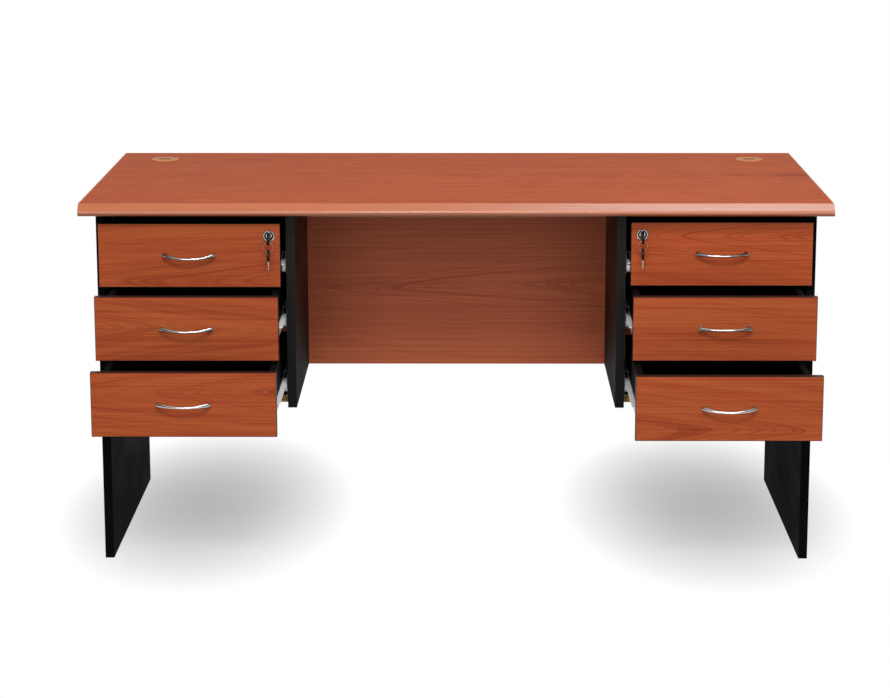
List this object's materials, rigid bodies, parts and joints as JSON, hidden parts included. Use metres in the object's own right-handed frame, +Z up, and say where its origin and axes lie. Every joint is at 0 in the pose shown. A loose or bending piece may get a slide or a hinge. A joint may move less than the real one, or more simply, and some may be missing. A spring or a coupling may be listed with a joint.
{
  "type": "pedestal desk",
  "caption": "Office desk with hanging drawer pedestals, cherry worktop and drawer fronts, black panels, locking top drawers, bow handles, roller runners and cable grommets.",
  "frame": {"origin": "middle of the whole outline on the floor, with the drawers as they stand open", "axes": "+X to the right as seen from the chair side, +Y to the back, +Z up"},
  "size_m": [1.5, 0.933, 0.7525],
  "materials": {
    "cherry_laminate": "satin cherry wood-grain laminate on board, black edge bands on the drawer fronts",
    "cherry_lipping": "satin cherry lipping",
    "black_board": "matt charcoal melamine on board",
    "raw_chipboard": "raw chipboard",
    "drawer_board": "black melamine on board",
    "runner_steel": "white epoxy-coated folded steel",
    "roller_plastic": "white nylon",
    "zinc_steel": "zinc-plated steel",
    "grommet_plastic": "tan plastic",
    "bright_chrome": "bright chrome plate",
    "key_plastic": "black moulded key heads with nickel blades and a wire ring"
  },
  "bodies": {
    "desk_frame": {"worktop": "cherry_laminate", "worktop_front_lipping": "cherry_lipping", "worktop_edge_bands": "cherry_lipping", "left_end_panel": "black_board", "right_end_panel": "black_board", "left_inner_panel": "black_board", "right_inner_panel": "black_board", "modesty_panel": "cherry_laminate", "bottom_rails": "raw_chipboard", "left_cabinet_runners": "runner_steel", "right_cabinet_runners": "runner_steel", "corner_brackets": "zinc_steel", "fixing_screws": "zinc_steel", "grommet_liners": "grommet_plastic"},
    "left_cap": {"left_grommet_cap": "grommet_plastic"},
    "left_top_drawer": {"left_top_drawer_front": "cherry_laminate", "left_top_drawer_box": "drawer_board", "left_top_drawer_handle": "bright_chrome", "left_top_drawer_runners": "runner_steel", "left_lock_barrel": "bright_chrome"},
    "left_top_front_roller": {"left_top_cabinet_rollers": "roller_plastic"},
    "left_top_rear_roller": {"left_top_drawer_rollers": "roller_plastic"},
    "left_middle_drawer": {"left_middle_drawer_front": "cherry_laminate", "left_middle_drawer_box": "drawer_board", "left_middle_drawer_handle": "bright_chrome", "left_middle_drawer_runners": "runner_steel"},
    "left_middle_front_roller": {"left_middle_cabinet_rollers": "roller_plastic"},
    "left_middle_rear_roller": {"left_middle_drawer_rollers": "roller_plastic"},
    "left_bottom_drawer": {"left_bottom_drawer_front": "cherry_laminate", "left_bottom_drawer_box": "drawer_board", "left_bottom_drawer_handle": "bright_chrome", "left_bottom_drawer_runners": "runner_steel"},
    "left_bottom_front_roller": {"left_bottom_cabinet_rollers": "roller_plastic"},
    "left_bottom_rear_roller": {"left_bottom_drawer_rollers": "roller_plastic"},
    "left_lock": {"left_lock_plug": "bright_chrome", "left_lock_key": "key_plastic"},
    "left_spare": {"left_spare_key": "key_plastic"},
    "right_cap": {"right_grommet_cap": "grommet_plastic"},
    "right_top_drawer": {"right_top_drawer_front": "cherry_laminate", "right_top_drawer_box": "drawer_board", "right_top_drawer_handle": "bright_chrome", "right_top_drawer_runners": "runner_steel", "right_lock_barrel": "bright_chrome"},
    "right_top_front_roller": {"right_top_cabinet_rollers": "roller_plastic"},
    "right_top_rear_roller": {"right_top_drawer_rollers": "roller_plastic"},
    "right_middle_drawer": {"right_middle_drawer_front": "cherry_laminate", "right_middle_drawer_box": "drawer_board", "right_middle_drawer_handle": "bright_chrome", "right_middle_drawer_runners": "runner_steel"},
    "right_middle_front_roller": {"right_middle_cabinet_rollers": "roller_plastic"},
    "right_middle_rear_roller": {"right_middle_drawer_rollers": "roller_plastic"},
    "right_bottom_drawer": {"right_bottom_drawer_front": "cherry_laminate", "right_bottom_drawer_box": "drawer_board", "right_bottom_drawer_handle": "bright_chrome", "right_bottom_drawer_runners": "runner_steel"},
    "right_bottom_front_roller": {"right_bottom_cabinet_rollers": "roller_plastic"},
    "right_bottom_rear_roller": {"right_bottom_drawer_rollers": "roller_plastic"},
    "right_lock": {"right_lock_plug": "bright_chrome", "right_lock_key": "key_plastic"},
    "right_spare": {"right_spare_key": "key_plastic"}
  },
  "joints": [
    {"name": "left_cap_turn", "type": "hinge", "parent": "desk_frame", "child": "left_cap", "pos_m": [-0.648, 0.35151, 0.7503], "axis": [0, 0, 1], "continuous": true},
    {"name": "left_top_drawer_slide", "type": "slide", "parent": "desk_frame", "child": "left_top_drawer", "axis": [0, -1, 0], "range_m": [-0.0185, 0.281]},
    {"name": "left_top_front_roller_spin", "type": "hinge", "parent": "desk_frame", "child": "left_top_front_roller", "pos_m": [-0.5245, -0.19649, 0.608], "axis": [1, 0, 0], "continuous": true},
    {"name": "left_top_rear_roller_spin", "type": "hinge", "parent": "left_top_drawer", "child": "left_top_rear_roller", "pos_m": [-0.5245, 0.14851, 0.608], "axis": [1, 0, 0], "continuous": true},
    {"name": "left_middle_drawer_slide", "type": "slide", "parent": "desk_frame", "child": "left_middle_drawer", "axis": [0, -1, 0], "range_m": [-0.096, 0.2035]},
    {"name": "left_middle_front_roller_spin", "type": "hinge", "parent": "desk_frame", "child": "left_middle_front_roller", "pos_m": [-0.5245, -0.19649, 0.4946], "axis": [1, 0, 0], "continuous": true},
    {"name": "left_middle_rear_roller_spin", "type": "hinge", "parent": "left_middle_drawer", "child": "left_middle_rear_roller", "pos_m": [-0.5245, 0.07101, 0.4946], "axis": [1, 0, 0], "continuous": true},
    {"name": "left_bottom_drawer_slide", "type": "slide", "parent": "desk_frame", "child": "left_bottom_drawer", "axis": [0, -1, 0], "range_m": [-0.1805, 0.119]},
    {"name": "left_bottom_front_roller_spin", "type": "hinge", "parent": "desk_frame", "child": "left_bottom_front_roller", "pos_m": [-0.5245, -0.19649, 0.3602], "axis": [1, 0, 0], "continuous": true},
    {"name": "left_bottom_rear_roller_spin", "type": "hinge", "parent": "left_bottom_drawer", "child": "left_bottom_rear_roller", "pos_m": [-0.5245, -0.01349, 0.3602], "axis": [1, 0, 0], "continuous": true},
    {"name": "left_lock_turn", "type": "hinge", "parent": "left_top_drawer", "child": "left_lock", "pos_m": [-0.3737, -0.26499, 0.6805], "axis": [0, 1, 0], "range_deg": [0, 90]},
    {"name": "left_spare_swing", "type": "hinge", "parent": "left_lock", "child": "left_spare", "pos_m": [-0.3737, -0.26499, 0.6607], "axis": [0, 1, 0], "range_deg": [-90, 0]},
    {"name": "right_cap_turn", "type": "hinge", "parent": "desk_frame", "child": "right_cap", "pos_m": [0.648, 0.35151, 0.7503], "axis": [0, 0, 1], "continuous": true},
    {"name": "right_top_drawer_slide", "type": "slide", "parent": "desk_frame", "child": "right_top_drawer", "axis": [0, -1, 0], "range_m": [-0.0005, 0.299]},
    {"name": "right_top_front_roller_spin", "type": "hinge", "parent": "desk_frame", "child": "right_top_front_roller", "pos_m": [0.5245, -0.19649, 0.608], "axis": [1, 0, 0], "continuous": true},
    {"name": "right_top_rear_roller_spin", "type": "hinge", "parent": "right_top_drawer", "child": "right_top_rear_roller", "pos_m": [0.5245, 0.16651, 0.608], "axis": [1, 0, 0], "continuous": true},
    {"name": "right_middle_drawer_slide", "type": "slide", "parent": "desk_frame", "child": "right_middle_drawer", "axis": [0, -1, 0], "range_m": [-0.0925, 0.207]},
    {"name": "right_middle_front_roller_spin", "type": "hinge", "parent": "desk_frame", "child": "right_middle_front_roller", "pos_m": [0.5245, -0.19649, 0.4946], "axis": [1, 0, 0], "continuous": true},
    {"name": "right_middle_rear_roller_spin", "type": "hinge", "parent": "right_middle_drawer", "child": "right_middle_rear_roller", "pos_m": [0.5245, 0.07451, 0.4946], "axis": [1, 0, 0], "continuous": true},
    {"name": "right_bottom_drawer_slide", "type": "slide", "parent": "desk_frame", "child": "right_bottom_drawer", "axis": [0, -1, 0], "range_m": [-0.2095, 0.09]},
    {"name": "right_bottom_front_roller_spin", "type": "hinge", "parent": "desk_frame", "child": "right_bottom_front_roller", "pos_m": [0.5245, -0.19649, 0.3602], "axis": [1, 0, 0], "continuous": true},
    {"name": "right_bottom_rear_roller_spin", "type": "hinge", "parent": "right_bottom_drawer", "child": "right_bottom_rear_roller", "pos_m": [0.5245, -0.04249, 0.3602], "axis": [1, 0, 0], "continuous": true},
    {"name": "right_lock_turn", "type": "hinge", "parent": "right_top_drawer", "child": "right_lock", "pos_m": [0.3737, -0.24699, 0.6805], "axis": [0, -1, 0], "range_deg": [0, 90]},
    {"name": "right_spare_swing", "type": "hinge", "parent": "right_lock", "child": "right_spare", "pos_m": [0.3737, -0.24699, 0.6607], "axis": [0, -1, 0], "range_deg": [-90, 0]}
  ],
  "couplings": [
    {"joint": "left_top_front_roller_spin", "follows": "left_top_drawer_slide", "rad_per_m": 105.26},
    {"joint": "left_top_rear_roller_spin", "follows": "left_top_drawer_slide", "rad_per_m": 105.26},
    {"joint": "left_middle_front_roller_spin", "follows": "left_middle_drawer_slide", "rad_per_m": 105.26},
    {"joint": "left_middle_rear_roller_spin", "follows": "left_middle_drawer_slide", "rad_per_m": 105.26},
    {"joint": "left_bottom_front_roller_spin", "follows": "left_bottom_drawer_slide", "rad_per_m": 105.26},
    {"joint": "left_bottom_rear_roller_spin", "follows": "left_bottom_drawer_slide", "rad_per_m": 105.26},
    {"joint": "left_spare_swing", "follows": "left_lock_turn", "ratio": -1},
    {"joint": "right_top_front_roller_spin", "follows": "right_top_drawer_slide", "rad_per_m": 105.26},
    {"joint": "right_top_rear_roller_spin", "follows": "right_top_drawer_slide", "rad_per_m": 105.26},
    {"joint": "right_middle_front_roller_spin", "follows": "right_middle_drawer_slide", "rad_per_m": 105.26},
    {"joint": "right_middle_rear_roller_spin", "follows": "right_middle_drawer_slide", "rad_per_m": 105.26},
    {"joint": "right_bottom_front_roller_spin", "follows": "right_bottom_drawer_slide", "rad_per_m": 105.26},
    {"joint": "right_bottom_rear_roller_spin", "follows": "right_bottom_drawer_slide", "rad_per_m": 105.26},
    {"joint": "right_spare_swing", "follows": "right_lock_turn", "ratio": -1}
  ]
}
